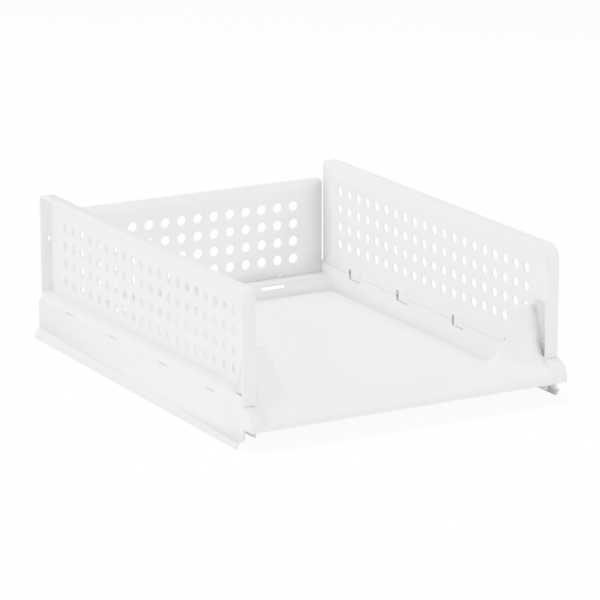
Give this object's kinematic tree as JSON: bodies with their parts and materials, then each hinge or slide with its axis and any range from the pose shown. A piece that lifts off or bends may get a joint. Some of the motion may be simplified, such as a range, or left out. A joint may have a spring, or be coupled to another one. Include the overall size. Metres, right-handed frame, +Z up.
{
  "type": "collapsible storage bin",
  "caption": "White plastic stackable storage bin with folding perforated side and rear panels, a shallow tray and a scooped open front",
  "frame": {"origin": "Under the middle of the bin, on the surface that its two side rails stand on", "axes": "+X to the right seen from the scooped front, +Y from the front to the rear panel, +Z up"},
  "size_m": [0.3272, 0.4212, 0.14],
  "materials": {
    "white_plastic": "smooth satin moulded polypropylene"
  },
  "bodies": {
    "base": {"base_tray": "white_plastic"},
    "right_panel": {"right_side_panel": "white_plastic"},
    "left_panel": {"left_side_panel": "white_plastic"},
    "rear": {"rear_panel": "white_plastic"}
  },
  "joints": [
    {"name": "right_panel_hinge", "type": "hinge", "parent": "base", "child": "right_panel", "pos_m": [0.1492, 0.0051, 0.039], "axis": [0, -1, 0], "range_deg": [0, 86]},
    {"name": "left_panel_hinge", "type": "hinge", "parent": "base", "child": "left_panel", "pos_m": [-0.1492, 0.0051, 0.039], "axis": [0, 1, 0], "range_deg": [0, 86]},
    {"name": "rear_panel_hinge", "type": "hinge", "parent": "base", "child": "rear", "pos_m": [0, 0.2076, 0.029], "axis": [1, 0, 0], "range_deg": [0, 90]}
  ]
}
